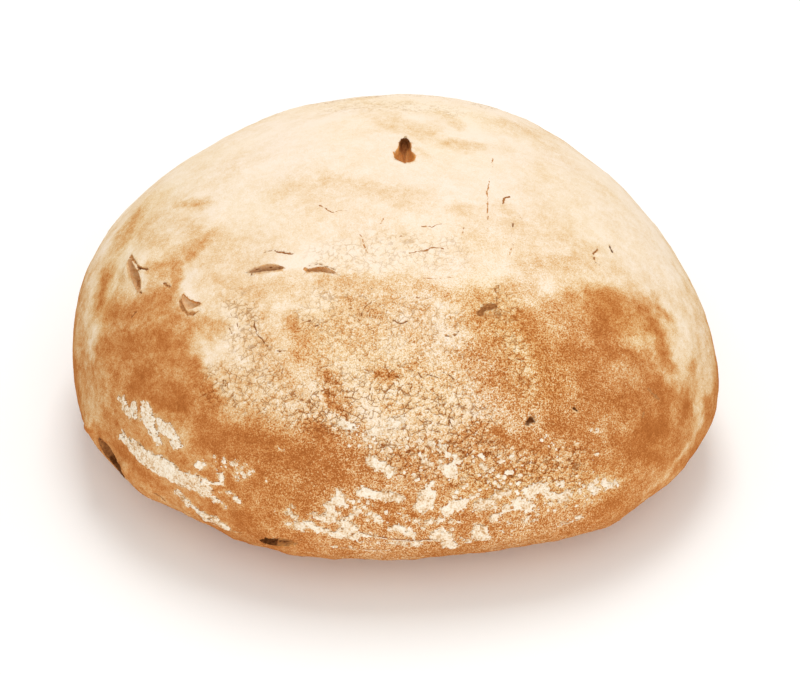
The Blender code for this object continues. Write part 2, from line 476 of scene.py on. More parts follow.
def marks_distance(points):
    """Distance of each point from the edge of the nearest mark."""
    nearest = np.full(len(points), FAR_AWAY)
    for half_width, depth, dark, places in MARKS.values():
        nearest = np.minimum(nearest, from_path(points, places) - half_width * MM)
    return nearest


def subdivide_near(piece, reach, smallest):
    """Splits every large enough face of the piece that lies within reach of a mark."""
    areas = np.empty(len(piece.data.polygons), np.float32)
    piece.data.polygons.foreach_get("area", areas)
    near = (marks_distance(face_middles(piece.data)) < reach) & (areas > smallest**2)
    take(piece)
    bpy.ops.object.mode_set(mode="EDIT")
    bpy.ops.mesh.select_mode(type="FACE")
    bpy.ops.mesh.select_all(action="DESELECT")
    bpy.ops.object.mode_set(mode="OBJECT")
    piece.data.polygons.foreach_set("select", near)
    bpy.ops.object.mode_set(mode="EDIT")
    bpy.ops.mesh.subdivide(number_cuts=1, ngon=False)
    bpy.ops.object.mode_set(mode="OBJECT")
    print("split", int(near.sum()), "faces, now", len(piece.data.polygons))


for reach, smallest in FINER_ROUNDS:
    subdivide_near(crust, reach, smallest)
bpy.ops.object.shade_smooth()

# %% [markdown]
# ## Relief
#
# A crust is never smooth: it rose in swells of a centimetre or two, it is pimpled at the size of a grain,
# and near the base it lies in level folds. Displacement in a material would be lost with the mesh, so the
# points themselves are moved along the way they face, by noise of several sizes. The base stays flat on
# the table.

# %% Sizes of the swells and folds
# The size of the waves and how far they reach, in mm
SWELLS = ((17.0, 0.24), (6.0, 0.16), (2.6, 0.08))
LOW_LUMPS = (8.0, 0.50)
LEVEL_FOLDS = (3.4, 0.45)
LEVEL_STRETCH = (0.35, 0.35, 1.0)  # draws the noise out sideways, so that it lies in level folds

# Fine folds, one above the other, which waver and come and go
FOLD_SPACING = 2.6 * MM
FOLD_REACH = 0.20 * MM
FOLD_WAVER = (14.0, 1.8)
FOLDED_SIZE = 11.0 * MM
FOLDED_FROM = (-0.2, 0.3)  # there are folds where the noise of that size is above these

SINK = 0.42 * MM  # the skin is set in by this much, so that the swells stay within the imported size
BASE_RIM = (0.2 * MM, 3.0 * MM)  # the relief starts between these heights
FOLD_TOP = 17.0 * MM

# %% Single bumps and dents that show
# Radius and height in mm, and a pixel of the photo
BUMPS = (
    (2.4, 1.5, (125, 469)),
    (2.2, -0.7, (112, 462)),
    (2.8, 1.7, (88, 428)),
    (3.0, -1.0, (97, 443)),
    (2.0, 0.7, (183, 507)),
    (1.8, -0.8, (193, 512)),
    (2.4, 0.6, (204, 516)),
    (3.0, 0.8, (265, 530)),
    (2.2, -0.5, (305, 545)),
    (5.0, 0.6, (240, 515)),
    (4.0, -0.5, (160, 452)),
    (3.0, -0.6, (182, 275)),
    (3.5, 0.7, (128, 268)),
    (2.6, 0.6, (406, 315)),
    (2.4, 0.5, (451, 331)),
    (2.6, 0.5, (306, 314)),
    (3.0, 0.6, (600, 254)),
    (3.5, -0.6, (550, 372)),
    (5.0, -0.5, (336, 408)),
    (4.0, 0.6, (398, 350)),
    (4.5, 0.6, (690, 360)),
    (4.0, -0.6, (698, 400)),
)
print(len(BUMPS), "bumps and dents")

# %% How far each point moves out
skin = positions(crust.data)
facing = directions(crust.data)
low_down = 1 - fade(skin[:, 2], 0.5 * FOLD_TOP, FOLD_TOP)
move = -SINK * np.ones(len(skin))
for seed, swell in enumerate(SWELLS):
    move += relief(skin, swell, seed + 1)
move += low_down * (relief(skin * LEVEL_STRETCH, LEVEL_FOLDS, 8) + relief(skin, LOW_LUMPS, 7))
bent = skin[:, 2] + relief(skin, FOLD_WAVER, 9)
folded = fade(waves(skin, FOLDED_SIZE, 10), *FOLDED_FROM)
move += FOLD_REACH * np.sin(2 * pi * bent / FOLD_SPACING) * low_down * folded
for radius, height, pixel in BUMPS:
    away = np.linalg.norm(skin - on_crust(pixel), axis=1) / (radius * MM)
    move += height * MM * np.exp(-(away**2))
move *= fade(skin[:, 2], *BASE_RIM)
print("relief from", round(1000 * move.min(), 2), "to", round(1000 * move.max(), 2), "mm")

# %% Carving the marks
RAGGED = ((2.6, 0.35, 50), (1.3, 0.28, 40))  # size and reach in mm, and seed
OPEN_SIZE = 2.4 * MM
OPEN_SHARE, OPEN_SWING = 0.75, 0.5  # a crack opens and closes along its way, round this share of its width
EDGE_FROM, EDGE_TO = -0.6, 0.3  # a mark's wall lies between these shares of its half width from its edge
HALF_LIP = 0.4 * MM
LIP_SHARE = 0.2  # height of the raised lip, as a share of the mark's depth
SOLID_WIDTH = 0.32  # a mark with a smaller half width in mm shows only in part

ragged = stirred(skin, *RAGGED)
open_share = OPEN_SHARE + OPEN_SWING * waves(skin, OPEN_SIZE, 41)
scar = np.zeros(len(skin))  # how dark a mark is inside, as strongly as it shows
opened = np.zeros(len(skin))  # how strongly it shows
# Inside each mark the colour is the crust's own, deepened by painted shade in the crack
for half_width, depth, dark, places in MARKS.values():
    outside = from_path(ragged, places) - half_width * MM * open_share
    inside = 1 - fade(outside, EDGE_FROM * half_width * MM, EDGE_TO * half_width * MM)
    lip = np.exp(-(((outside - HALF_LIP) / HALF_LIP) ** 2))
    move += depth * MM * (LIP_SHARE * lip * (1 - inside) - inside)
    shown = inside * min(1, half_width / SOLID_WIDTH)
    scar = np.maximum(scar, dark * shown)
    opened = np.maximum(opened, shown)
print("points inside marks:", int((scar > 0.2).sum()))

# %% [markdown]
# The imported loaf has its deep tears already: the vent at the crown where the steam broke out, the chips,
# and the torn places at the base edge. Each has its own shade inside, from pale crumb to deep brown: the
# crumb's own colour, deepened by painted shade in the hollow. The vent has painted shadow under its far
# rim, and its slopes are orange crumb with painted shade in the groove between them.

# %% Which points are on the wall of a tear
torn, untorn = np.zeros(len(skin)), np.zeros(len(skin))
for face in crust.data.polygons:
    side = torn if face.material_index == WALL else untorn
    side[list(face.vertices)] = 1
crust.data.polygons.foreach_set("material_index", np.full(len(crust.data.polygons), SKIN, np.int32))
print("points on the walls:", int(torn.sum()), "of them on a rim:", int((torn * untorn).sum()))

# %% Crumb colour and painted shade inside each tear
# A pixel on each tear, or on a part of it, and how dark it is there: the crumb's own colour, deepened by
# painted shade in the hollow
TEAR_SHADES = {
    (137, 275): 0.38,
    (266, 270): 0.48,
    (321, 265): 0.42,
    (188, 308): 0.36,
    (489, 310): 0.46,
    (108, 449): 0.72,
    (116, 464): 0.92,
    (271, 540): 0.88,
    (284, 541): 0.36,
    (294, 541): 0.20,
}
FAR_TEAR_SHADES = {(78, 12): 0.78, (14, 11): 0.78}  # the same for the hidden sides, by turn and height
SHADE_SIZE, SHADE_SWING = 2.0 * MM, 0.15  # the shade varies by this much

shades = {tuple(on_crust(pixel)): shade for pixel, shade in TEAR_SHADES.items()}
shades |= {tuple(far_side_path([corner])[0]): shade for corner, shade in FAR_TEAR_SHADES.items()}
reaches = np.array([np.linalg.norm(skin - np.array(place), axis=1) for place in shades])
inside_shade = np.array(list(shades.values()))[reaches.argmin(axis=0)]
inside_shade = inside_shade + SHADE_SWING * waves(skin, SHADE_SIZE, 42)
print("a shade for", len(shades), "tears and parts of tears")

# %% Where the vent is
VENT_PIXELS = ((404, 139), (405, 150), (405, 158))  # the top, middle and foot of its far wall
VENT_CORNER = (389, 152)  # a corner of its wide end
VENT_REACH = 12 * MM

vent_top, vent_middle, vent_foot = photo_path(VENT_PIXELS)
from_vent = np.linalg.norm((skin - vent_middle)[:, :2], axis=1)
in_vent = (torn > 0) & (from_vent < VENT_REACH)
print("far wall of the vent from", np.round(1000 * vent_top, 1), "to", np.round(1000 * vent_foot, 1), "mm")

# %% Crumb colour and painted shade inside the vent
# The groove and the slopes under the far rim are darkened with painted shade and painted shadow
VENT_SLOPE, VENT_GROOVE_SHADE, VENT_RIM_SHADOW = 0.06, 0.46, 0.90  # its slopes, its groove, and under its far rim
SLOPE_RIM_SHADOW = 0.22  # the slopes are darker by this under the rim
RIM_THICKNESS = 0.5 * MM
GROOVE_SHIFT = 0.5 * MM  # the groove lies this far to the left of the foot's pixel
GROOVE_FLOOR = (0.2, 0.8)  # half width of its floor in mm at the foot, and how much it gains under the rim
GROOVE_EDGE = (0.8, 2.0)  # and the same for its edge
VENT_SIZE, VENT_SWING = 1.5 * MM, 0.1

aside = skin[:, 0] - vent_foot[0] + GROOVE_SHIFT
under_rim = fade(skin[:, 2], vent_foot[2], vent_top[2] - RIM_THICKNESS)
floor, edge = [(at_foot + gain * under_rim) * MM for at_foot, gain in (GROOVE_FLOOR, GROOVE_EDGE)]
groove = 1 - fade(np.abs(aside), floor, edge)
slope = VENT_SLOPE + SLOPE_RIM_SHADOW * under_rim
# The crumb's colour on the slopes, with painted shade in the groove and painted shadow under the far rim
vent_crumb_and_shade = slope + groove * (VENT_GROOVE_SHADE - slope + (VENT_RIM_SHADOW - VENT_GROOVE_SHADE) * under_rim)
vent_crumb_and_shade = vent_crumb_and_shade + VENT_SWING * waves(skin, VENT_SIZE, 44)
inside_shade = np.where(in_vent, vent_crumb_and_shade, inside_shade)
print("points in the vent:", int(in_vent.sum()))

# %% How strongly the tears show
RIM_SHARE = 0.40  # of a tear's shade that reaches onto its rim
FLOURED_SHARE = 0.42  # of it that shows in the tears high up, which have flour in them
FLOURED_ABOVE = 40 * MM
PALEST = 0.02
CRUMB = (1.2, 0.10)  # size and reach in mm of the roughness inside a tear
WALL_RELIEF = 0.4  # share of the skin's relief that the walls get

floured = (skin[:, 2] > FLOURED_ABOVE) & ~in_vent
# The darkness inside each tear is partly the crumb's colour and partly painted shade
bare = torn * np.where(untorn > 0, RIM_SHARE, np.where(floured, FLOURED_SHARE, 1))
scar = np.maximum(scar, bare * np.clip(inside_shade, PALEST, 1))
opened = np.maximum(opened, bare)
move = np.where(torn > 0, WALL_RELIEF * move + relief(skin, CRUMB, 43), move)
print("mean shade of the walls:", round(float(inside_shade[torn > 0].mean()), 2))

# %% Move the skin, and squeeze the vent
VENT_SQUEEZE = 0.54  # the vent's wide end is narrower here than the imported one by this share
VENT_SHIFT = 0.30 * MM  # and it lies this much further to the right
SQUEEZED = (4 * MM, 10 * MM)  # all of the squeeze up to the first distance, and none from the second

squeezed = 1 - fade(from_vent, *SQUEEZED)
wide_end, far_end = on_crust(VENT_CORNER)[1], vent_top[1]
narrowing = VENT_SQUEEZE * (1 - fade(skin[:, 1], wide_end, far_end))
sideways = (VENT_SHIFT - narrowing * aside) * squeezed
set_positions(crust.data, skin + facing * move[:, None] + sideways[:, None] * [1, 0, 0])
print("the vent's sides moved by up to", round(1000 * np.abs(sideways).max(), 1), "mm")

# %% [markdown]
# ## Dust of flour
#
# Rye loaves are proved in a floured basket. Flour lies thick on the crown, thins out over the shoulder,
# and is rubbed off round the belt, where the brown crust shows. How much flour lies at a point could be
# left to noise, but then the patches wouldn't be where the photo has them. So it is painted as with a
# brush: a base coat by which way the skin faces, and then dabs with a soft edge, each on a path through the
# photo's pixels.

# %% Base coat
BARE_COVER = 0.30  # on the sides, and most near the table
CROWN_GAIN = 0.62  # and what is added where the skin faces up
FACING_UP = (0.12, 0.80)
CLOUDS = ((26 * MM, 0.16, 21), (9 * MM, 0.08, 22))  # size, strength and seed of its noise
NEAR_TABLE = 7 * MM

skin = positions(crust.data)
facing = directions(crust.data)
dust = BARE_COVER + CROWN_GAIN * fade(facing[:, 2], *FACING_UP)
for size, strength, seed in CLOUDS:
    dust += strength * waves(skin, size, seed)
dust = np.where(skin[:, 2] < NEAR_TABLE, np.minimum(dust, BARE_COVER), dust)
print("mean cover of the base coat:", round(float(dust.mean()), 2))

# %% Dabs of more or less flour
# Each has its cover from 0, bare crust, to 1, white, and its half width in mm.
DABS = (
    # Crown
    (0.93, 40, [(330, 160), (470, 190)]),
    (0.92, 20, [(250, 215), (400, 250), (520, 235)]),
    (0.86, 13, [(300, 215), (390, 225)]),
    (0.79, 12, [(295, 185), (325, 195)]),
    (0.83, 12, [(240, 235), (275, 245)]),
    (0.74, 9.0, [(395, 124), (428, 132)]),
    (0.90, 16, [(560, 170), (640, 250)]),
    (0.90, 14, [(180, 165), (250, 130)]),
    (0.70, 4.5, [(362, 183), (386, 191), (404, 200)]),
    (0.78, 7.0, [(330, 180), (420, 200)]),
    (0.78, 5.5, [(385, 118), (405, 128)]),
    (0.74, 6.0, [(442, 112), (456, 124)]),
    (0.68, 4.0, [(447, 144), (478, 145)]),
    (0.70, 5.0, [(516, 124), (530, 131)]),
    (0.76, 3.5, [(322, 170), (328, 186)]),
    (0.76, 4.0, [(452, 207), (474, 211)]),
    (0.72, 4.0, [(506, 208), (524, 224)]),
    (0.78, 4.0, [(548, 178), (538, 164)]),
    (0.80, 3.0, [(416, 150), (428, 158)]),
    (0.82, 5.0, [(270, 190), (290, 196)]),
    (0.80, 4.0, [(232, 160), (236, 170)]),
    # Upper left
    (0.60, 13, [(150, 225), (190, 245)]),
    (0.46, 9.0, [(136, 215), (118, 245)]),
    (0.27, 8.0, [(104, 275), (98, 305)]),
    (0.76, 8.0, [(148, 190), (175, 205)]),
    (0.50, 6.0, [(150, 284), (164, 300)]),
    (0.54, 4.0, [(148, 262), (156, 276)]),
    (0.62, 7.0, [(196, 238), (226, 246)]),
    (0.82, 6.0, [(164, 222), (176, 234)]),
    (0.92, 8.0, [(172, 176), (192, 184)]),
    (0.54, 4.0, [(182, 200), (202, 203)]),
    (0.74, 5.0, [(122, 262), (131, 275)]),
    (0.72, 10, [(210, 250), (250, 262)]),
    (0.66, 8.0, [(210, 282), (240, 290)]),
    (0.34, 5.0, [(172, 262), (172, 285)]),
    (0.42, 4.0, [(192, 252), (198, 246)]),
    (0.82, 3.0, [(143, 298), (146, 276)]),
    (0.84, 1.6, [(163, 279), (169, 283)]),
    # Shoulder
    (0.70, 7.0, [(225, 292), (330, 286)]),
    (0.62, 6.5, [(330, 282), (420, 286)]),
    (0.54, 6.0, [(440, 292), (470, 297), (530, 290)]),
    (0.79, 13, [(480, 236), (560, 226)]),
    (0.66, 7.5, [(530, 262), (590, 262)]),
    (0.70, 4.0, [(560, 240), (600, 250)]),
    # Left belt
    (0.26, 10, [(110, 310), (160, 305)]),
    (0.40, 4.0, [(160, 262), (163, 268)]),
    (0.22, 12, [(105, 350), (150, 340), (174, 345)]),
    (0.13, 13, [(130, 385), (180, 400)]),
    (0.16, 11, [(210, 430), (270, 445), (320, 465)]),
    (0.22, 9.0, [(180, 475), (240, 500), (310, 500)]),
    (0.14, 6.5, [(318, 432), (345, 478)]),
    (0.28, 6.5, [(348, 455), (372, 478)]),
    (0.13, 6.0, [(200, 442), (222, 456)]),
    (0.22, 7.0, [(150, 385), (170, 394)]),
    (0.36, 6.0, [(172, 318), (190, 324)]),
    (0.33, 8.0, [(104, 362), (124, 378)]),
    (0.24, 6.0, [(172, 354), (190, 368)]),
    (0.30, 6.0, [(196, 388), (218, 402)]),
    (0.28, 5.0, [(250, 494), (272, 506)]),
    # Along the left edge: paler, partly flour and partly painted light where the edge catches the bright
    # surroundings
    (0.47, 5.5, [(80, 330), (84, 370), (94, 405)]),
    (0.50, 5.5, [(202, 316), (214, 330)]),
    # Floured middle
    (0.62, 10, [(250, 300), (265, 345), (290, 385)]),
    (0.76, 5.0, [(238, 296), (252, 306)]),
    (0.80, 4.0, [(304, 286), (318, 292)]),
    (0.66, 7.0, [(225, 372), (262, 396), (300, 406)]),
    (0.78, 5.0, [(298, 402), (318, 412)]),
    (0.53, 7.0, [(310, 335), (322, 362), (344, 400)]),
    (0.60, 7.0, [(345, 302), (420, 312)]),
    (0.82, 4.5, [(394, 326), (408, 334)]),
    (0.34, 6.0, [(352, 436), (368, 446)]),
    (0.62, 5.0, [(444, 374), (458, 386)]),
    (0.46, 6.0, [(446, 436), (460, 446)]),
    (0.66, 4.0, [(308, 404), (322, 414)]),
    (0.64, 16, [(340, 330), (400, 350), (420, 400)]),
    (0.82, 6.0, [(385, 345), (400, 355)]),
    (0.86, 3.5, [(398, 314), (408, 318)]),
    (0.78, 7.0, [(375, 436), (430, 420), (470, 414)]),
    (0.72, 5.0, [(430, 345), (455, 355)]),
    (0.58, 7.0, [(455, 322), (470, 342)]),
    (0.52, 7.0, [(466, 360), (482, 382)]),
    (0.38, 6.0, [(484, 430), (496, 448)]),
    (0.38, 8.0, [(480, 318), (545, 318)]),
    (0.38, 10, [(490, 345), (520, 405)]),
    (0.36, 4.5, [(480, 350), (512, 362)]),
    (0.78, 3.0, [(470, 385), (486, 420)]),
    (0.88, 3.5, [(545, 301)]),
    (0.84, 2.5, [(560, 288)]),
    # Brown spots in the middle
    (0.42, 5.0, [(290, 318), (298, 355)]),
    (0.72, 4.5, [(248, 318), (258, 338)]),
    (0.74, 7.0, [(415, 398), (440, 404)]),
    (0.22, 8.0, [(528, 324), (538, 345), (555, 392)]),
    (0.20, 6.0, [(522, 436), (542, 448)]),
    (0.10, 2.0, [(326, 393), (333, 405), (340, 420)]),
    (0.26, 2.8, [(378, 375), (396, 381)]),
    (0.42, 3.0, [(386, 411)]),
    (0.40, 4.0, [(318, 372), (330, 384)]),
    (0.34, 3.0, [(497, 374), (480, 396)]),
    (0.12, 3.0, [(499, 430), (514, 442)]),
    (0.14, 3.0, [(423, 452), (431, 470)]),
    (0.10, 1.6, [(434, 474), (436, 488)]),
    (0.20, 2.0, [(455, 427), (463, 429)]),
    # Right
    (0.34, 13, [(585, 300), (650, 318)]),
    (0.18, 12, [(610, 312), (600, 350), (640, 370)]),
    (0.20, 13, [(570, 350), (595, 400), (640, 400)]),
    (0.17, 11, [(560, 425), (610, 445), (640, 440)]),
    (0.08, 9.0, [(650, 430), (686, 408)]),
    (0.38, 4.0, [(548, 370), (556, 374)]),
    (0.46, 2.6, [(626, 371), (631, 375)]),
    (0.42, 5.0, [(656, 300), (672, 322)]),
    (0.36, 7.0, [(555, 304), (574, 318)]),
    (0.16, 6.5, [(656, 384), (670, 406)]),
    (0.12, 6.0, [(636, 448), (656, 460)]),
    (0.22, 5.0, [(660, 350), (672, 372)]),
    (0.42, 6.0, [(622, 364), (640, 378)]),
    (0.32, 6.0, [(674, 414), (690, 440)]),
    (0.95, 9.0, [(590, 165), (640, 212), (678, 270)]),
    (0.70, 4.8, [(674, 262), (694, 300), (707, 345), (711, 384)]),
    (0.22, 6.0, [(650, 322), (664, 345)]),
    (0.70, 6.0, [(612, 268), (632, 280)]),
    (0.70, 2.0, [(698, 405), (704, 424)]),
    (0.58, 3.2, [(704, 420), (686, 450), (668, 474)]),
    (0.50, 3.0, [(664, 478), (648, 494)]),
    (0.60, 3.0, [(622, 483), (598, 492)]),
    (0.42, 4.0, [(600, 424), (604, 450)]),
    # Low down
    (0.45, 13, [(420, 470), (480, 480), (550, 480)]),
    (0.58, 8.0, [(520, 490), (600, 486)]),
    (0.40, 6.0, [(360, 500), (430, 505), (540, 500)]),
    (0.24, 7.0, [(330, 500), (400, 515), (480, 525)]),
    (0.14, 5.0, [(350, 508), (376, 513)]),
    (0.12, 4.5, [(378, 514), (398, 521), (418, 518)]),
    (0.14, 2.4, [(402, 499), (412, 507)]),
    (0.14, 2.0, [(464, 530)]),
    (0.12, 2.0, [(498, 474), (518, 478)]),
    (0.26, 4.0, [(505, 545), (590, 528), (640, 500)]),
    # Along the lower left rim: paler, partly flour and partly painted light where the rim faces down
    (0.40, 4.0, [(112, 465), (150, 493), (205, 530)]),
    (0.26, 3.0, [(240, 535), (330, 552), (420, 556)]),
)
print(len(DABS), "dabs")

# %% The brush
BRISTLES = ((11.0, 2.6, 60), (3.2, 1.3, 70))  # the raggedness of a dab: size and reach in mm, and seed

brushed = stirred(skin, *BRISTLES)


def brush(layer, dabs, spread, core, on_back=False):
    """The layer with dabs brushed over it, each with its value, its half width in mm, and its pixels.

    A dab fades out at spread times its half width. On the way in from there to its middle, it has its full
    value from the share that core gives. With on_back, the back gets the same dabs as the front.
    """
    for value, half_width, pixels in dabs:
        places = photo_path(pixels)
        away = from_path(brushed, places)
        if on_back:
            away = np.minimum(away, from_path(brushed * [1, -1, 1], places))
        layer = layer + (value - layer) * fade(1 - away / (spread * half_width * MM), 0, core)
    return layer


# %% Brush the flour on
DAB_SPREAD, DAB_CORE = 1.12, 0.95
TORN_COVER = 0.42  # most flour inside a tear
FLOURED_COVER = 0.62  # and inside the tears high up

dust = brush(dust, DABS, DAB_SPREAD, DAB_CORE)
most = np.where(floured, FLOURED_COVER, TORN_COVER)
dust = np.where((torn > 0) & ~in_vent, np.minimum(dust, most), dust)
dust = np.clip(dust, 0, 1)
print("mean cover:", round(float(dust.mean()), 2))

# %% Where the crust is golden instead of orange
# Strength, half width in mm, and path
GOLDEN = (
    (0.1, 26, [(330, 190), (520, 215)]),
    (0.6, 18, [(320, 340), (440, 390)]),
    (1.0, 20, [(490, 310), (540, 370)]),
    (0.8, 14, [(600, 300), (640, 330)]),
    (0.9, 14, [(470, 490), (600, 485)]),
    (0.7, 18, [(150, 200), (105, 300)]),
    (0.60, 20, [(360, 100), (470, 115)]),
)
GOLDEN_MEAN, GOLDEN_SWING, GOLDEN_SIZE = 0.25, 0.25, 22 * MM  # away from these

golden = GOLDEN_MEAN + GOLDEN_SWING * waves(skin, GOLDEN_SIZE, 31)
golden = brush(golden, GOLDEN, spread=1.0, core=1.0)
print("mean strength of the gold:", round(float(golden.mean()), 2))

# %% Where the flour is finely cracked
# Strength, half width in mm, and path. The back has its cracks in the same places as the front.
CRACKED = (
    (0.45, 14, [(330, 255), (450, 250)]),
    (0.55, 16, [(320, 310), (440, 330)]),
    (0.70, 12, [(215, 385), (320, 412)]),
    (0.60, 13, [(240, 310), (265, 380)]),
    (0.50, 14, [(330, 360), (470, 365)]),
    (0.85, 15, [(320, 410), (400, 405), (470, 425)]),
    (0.80, 14, [(390, 455), (480, 468), (570, 468)]),
    (0.60, 10, [(500, 300), (520, 380)]),
    (0.30, 14, [(600, 330), (640, 400)]),
    (0.25, 12, [(130, 340), (170, 400)]),
    (0.40, 10, [(260, 440), (320, 470)]),
)
CRACKED_MEAN, CRACKED_SWING, CRACKED_SIZE = 0.06, 0.10, 15 * MM  # away from these

cracked = CRACKED_MEAN + CRACKED_SWING * waves(skin, CRACKED_SIZE, 32)
cracked = brush(cracked, CRACKED, spread=1.0, core=0.75, on_back=True)
print("mean strength of the cracks:", round(float(cracked.mean()), 2))

# %% Where the grains stand out most
# The middle of the front is the grittiest part, and so is the same part of the back.
GRITTY_PIXEL = (450, 470)
GRITTY_REACH = (24 * MM, 95 * MM)
GRIT_LOSS = 0.72  # how much weaker the grains are beyond that reach

gritty = on_crust(GRITTY_PIXEL)
middles = (gritty, gritty * [1, -1, 1])
from_gritty = np.min([np.linalg.norm(skin - middle, axis=1) for middle in middles], axis=0)
grit = 1 - GRIT_LOSS * fade(from_gritty, *GRITTY_REACH)
print("weakest grains:", round(float(grit.min()), 2), "of their full strength")

# %% [markdown]
# ## Caked flour
#
# Near the base the flour was damp and caked into a layer that stands off the crust, with ragged edges,
# holes and loose flakes. A material could only colour it. So it is a thin shell of its own: the crust's
# own faces near each patch are copied and made finer, and their points are lifted where there is flour and
# sunk just under the crust where there is none.

# %% Solid patches, each with its half width in mm
CAKED = (
    # Left tongues
    (1.9, [(122, 400), (129, 413)]),
    (1.5, [(133, 404), (135, 414)]),
    (2.7, [(144, 411), (149, 422)]),
    (1.9, [(149, 422), (156, 441)]),
    (2.2, [(160, 425), (168, 432), (176, 444)]),
    # The long streak and its branches
    (2.1, [(123, 438), (131, 445)]),
    (3.3, [(132, 447), (140, 454), (150, 461)]),
    (4.1, [(150, 461), (166, 471), (178, 477)]),
    (3.3, [(178, 477), (192, 484), (204, 490)]),
    (1.1, [(204, 493), (217, 501), (223, 505)]),
    (1.1, [(170, 468), (182, 472), (195, 478), (208, 484), (220, 485), (221, 477)]),
    (0.9, [(222, 492), (232, 497), (238, 500)]),
    (1.5, [(178, 494), (184, 501), (191, 507), (207, 517)]),
    (2.0, [(214, 520), (224, 527)]),
    (1.2, [(197, 465), (200, 468)]),
    (0.6, [(234, 465), (239, 469), (246, 472), (242, 479), (236, 477)]),
    (0.6, [(268, 509), (275, 515)]),
    (0.8, [(292, 507), (288, 514), (295, 518)]),
    # Front, left of the middle
    (1.5, [(290, 525), (301, 527), (309, 524), (320, 531), (338, 536), (354, 538), (371, 536)]),
    (2.2, [(343, 522), (351, 529), (344, 533)]),
    (2.1, [(338, 497), (331, 509), (329, 519)]),
    (1.3, [(313, 515), (322, 521)]),
    (1.2, [(343, 519), (356, 515), (368, 515), (377, 520)]),
    (2.0, [(362, 493), (378, 496), (396, 499)]),
    (1.2, [(391, 530), (399, 527), (405, 533), (412, 535)]),
    (2.8, [(428, 494), (424, 507)]),
    (2.1, [(446, 512), (460, 504)]),
    (2.3, [(437, 534), (447, 539), (450, 547)]),
    (2.8, [(479, 532), (482, 536)]),
    (1.1, [(463, 540), (470, 542)]),
    (0.6, [(402, 515), (404, 518)]),
    (0.7, [(409, 521), (425, 522), (441, 521)]),
    (2.0, [(481, 507), (490, 503), (497, 498)]),
    (1.5, [(492, 519), (500, 512), (508, 508)]),
    # Front, right of the middle
    (2.6, [(530, 492), (540, 489)]),
    (2.2, [(519, 503), (530, 508)]),
    (1.7, [(548, 494), (560, 498), (570, 494)]),
    (1.5, [(592, 489), (598, 492)]),
    (1.3, [(604, 485), (618, 486)]),
    # Plates higher up
    (2.0, [(373, 462), (382, 466), (391, 473)]),
    (2.0, [(446, 469), (451, 473)]),
    (1.2, [(433, 443), (443, 448)]),
    (1.1, [(448, 458), (460, 460)]),
    (1.4, [(343, 425), (352, 428)]),
    (1.3, [(368, 434), (378, 430)]),
    (1.5, [(392, 424), (402, 421)]),
    # Streaks in the folds
    (0.5, [(328, 549), (340, 547), (350, 548)]),
    (0.6, [(357, 543), (380, 544), (402, 543), (422, 545)]),
    (0.5, [(497, 531), (508, 533), (518, 531)]),
    (0.5, [(500, 524), (514, 522), (530, 519)]),
    (0.6, [(561, 524), (570, 521), (580, 518)]),
)
FAR_CAKED = (
    (2.2, [(30, 15), (35, 12), (41, 11)]),
    (1.2, [(41, 11), (47, 10)]),
    (3.0, [(60, 17), (66, 14), (73, 13)]),
    (1.3, [(66, 20), (71, 22)]),
    (2.4, [(88, 20), (93, 17), (99, 18)]),
    (1.2, [(99, 18), (105, 15)]),
    (2.8, [(118, 13), (124, 16), (131, 15)]),
    (1.5, [(127, 22), (131, 24)]),
    (2.0, [(148, 17), (153, 13), (160, 12)]),
    (1.1, [(160, 12), (166, 13)]),
    (2.3, [(352, 13), (358, 16), (4, 15)]),
    (1.4, [(10, 12), (15, 13)]),
)
# Regions of loose flakes: half width in mm, then the path
FLAKES = (
    (2.6, [(200, 462), (226, 463)]),
    (3.0, [(234, 470), (247, 472)]),
    (1.6, [(279, 447), (284, 450)]),
    (1.5, [(264, 481), (267, 488)]),
    (4.5, [(340, 505), (400, 520), (450, 525)]),
    (6.0, [(420, 470), (470, 470), (520, 470)]),
    (7.0, [(470, 500), (530, 495), (590, 490)]),
    (2.5, [(560, 455), (545, 440)]),
    (2.0, [(596, 428), (596, 456)]),
    (2.5, [(560, 505), (520, 525)]),
    (3.0, [(350, 440), (420, 445)]),
)
FAR_FLAKES = (
    (7.0, [(25, 16), (50, 14), (80, 18), (110, 15), (140, 18), (168, 15)]),
    (5.0, [(60, 32), (75, 35)]),
    (5.0, [(120, 34), (135, 30)]),
    (5.0, [(345, 15), (15, 15)]),
)


# %% Loose flakes
FLAKE_SPACING = 1.9 * MM
FLAKE_RADIUS = (0.10, 0.62)  # smallest and largest, as a share of the spacing
FLAKE_SHUFFLE = 19.7  # sends the middles of neighbouring flakes to cells far apart, for unlike sizes


def flake_distance(points):
    """Distance in from the edge of the nearest loose flake, below 0 outside it."""
    low, high = FLAKE_RADIUS
    inwards = []
    for point in points:
        distances, middles = noise.voronoi(Vector(point) / FLAKE_SPACING)
        size = noise.cell(middles[0] * FLAKE_SHUFFLE)
        inwards.append(low + (high - low) * abs(size) - distances[0])
    return np.array(inwards) * FLAKE_SPACING


# %% How much flour lies at a point
EDGE_SIZES = ((2.8, 1.05), (1.2, 1.00), (0.6, 0.65))  # size and reach in mm of the raggedness of its edge
EDGE_SEED = 120
PATCHES_BENT = (3.5, 0.6, 90)  # size and reach in mm, and seed
FLAKES_BENT = (1.2, 0.25, 95)
EDGE_REACH = 3 * MM  # the raggedness is worked out only this near to a patch
FLAKES_START = 0.5 * MM  # flakes lie up to this far outside their region
FLAKES_FULL = 1.5 * MM  # nearer to its edge than this, they get smaller
FLAKES_THINNED = 0.35  # by this share of what is missing


def farthest_in(points, strokes):
    """Distance in from the edge of the nearest of the strokes, below 0 outside them."""
    depth = np.full(len(points), -FAR_AWAY)
    for half_width, places in strokes:
        depth = np.maximum(depth, half_width * MM - from_path(points, places))
    return depth


